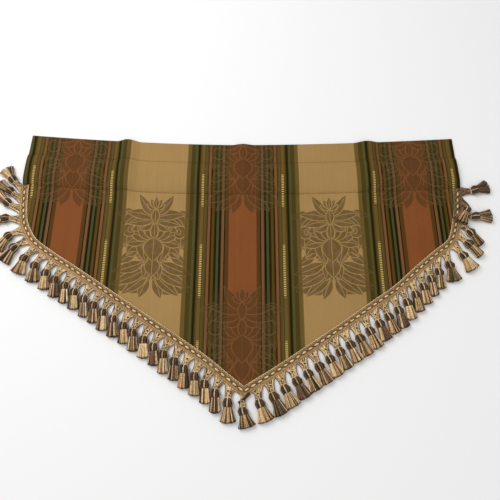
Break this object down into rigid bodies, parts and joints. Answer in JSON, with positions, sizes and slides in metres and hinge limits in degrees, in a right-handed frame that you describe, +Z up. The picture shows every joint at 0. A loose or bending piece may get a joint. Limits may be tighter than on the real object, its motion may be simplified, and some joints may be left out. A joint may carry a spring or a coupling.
{
  "type": "window valance",
  "caption": "Pointed window valance of striped cloth with a rod pocket and header, edged with a tassel fringe, laid out flat.",
  "frame": {"origin": "on the underside of the cloth, on its middle line, 0.302 m below the top edge", "axes": "+Z up from the surface that the valance lies on, with the cloth's right side up; +Y towards the rod pocket; +X to the right along the top edge"},
  "size_m": [1.2135, 0.7116, 0.0239],
  "materials": {
    "striped_cloth": "striped jacquard weave with a soft satin sheen",
    "trim_yarn": "tan gimp tape with cream satin dashes",
    "light_yarn": "gold and tan rayon yarn",
    "dark_yarn": "brown, olive and mauve rayon yarn"
  },
  "bodies": {
    "root": {"panel": "striped_cloth", "trim_header": "trim_yarn", "tassel_01": "light_yarn", "tassel_02": "dark_yarn", "tassel_03": "light_yarn", "tassel_04": "dark_yarn", "tassel_05": "light_yarn", "tassel_06": "dark_yarn", "tassel_07": "light_yarn", "tassel_08": "dark_yarn", "tassel_09": "light_yarn", "tassel_10": "dark_yarn", "tassel_11": "light_yarn", "tassel_12": "dark_yarn", "tassel_13": "light_yarn", "tassel_14": "dark_yarn", "tassel_15": "light_yarn", "tassel_16": "dark_yarn", "tassel_17": "light_yarn", "tassel_18": "dark_yarn", "tassel_19": "light_yarn", "tassel_20": "dark_yarn", "tassel_21": "light_yarn", "tassel_22": "dark_yarn", "tassel_23": "light_yarn", "tassel_24": "dark_yarn", "tassel_25": "light_yarn", "tassel_26": "dark_yarn", "tassel_27": "light_yarn", "tassel_28": "dark_yarn", "tassel_29": "light_yarn", "tassel_30": "dark_yarn", "tassel_31": "light_yarn", "tassel_32": "dark_yarn", "tassel_33": "light_yarn", "tassel_34": "dark_yarn", "tassel_35": "light_yarn", "tassel_36": "dark_yarn", "tassel_37": "light_yarn", "tassel_38": "dark_yarn", "tassel_39": "light_yarn", "tassel_40": "dark_yarn", "tassel_41": "light_yarn", "tassel_42": "dark_yarn", "tassel_43": "light_yarn", "tassel_44": "dark_yarn", "tassel_45": "light_yarn", "tassel_46": "dark_yarn", "tassel_47": "light_yarn", "tassel_48": "dark_yarn", "tassel_49": "light_yarn", "tassel_50": "dark_yarn", "tassel_51": "light_yarn", "tassel_52": "dark_yarn", "tassel_53": "light_yarn", "tassel_54": "dark_yarn"}
  },
  "joints": []
}
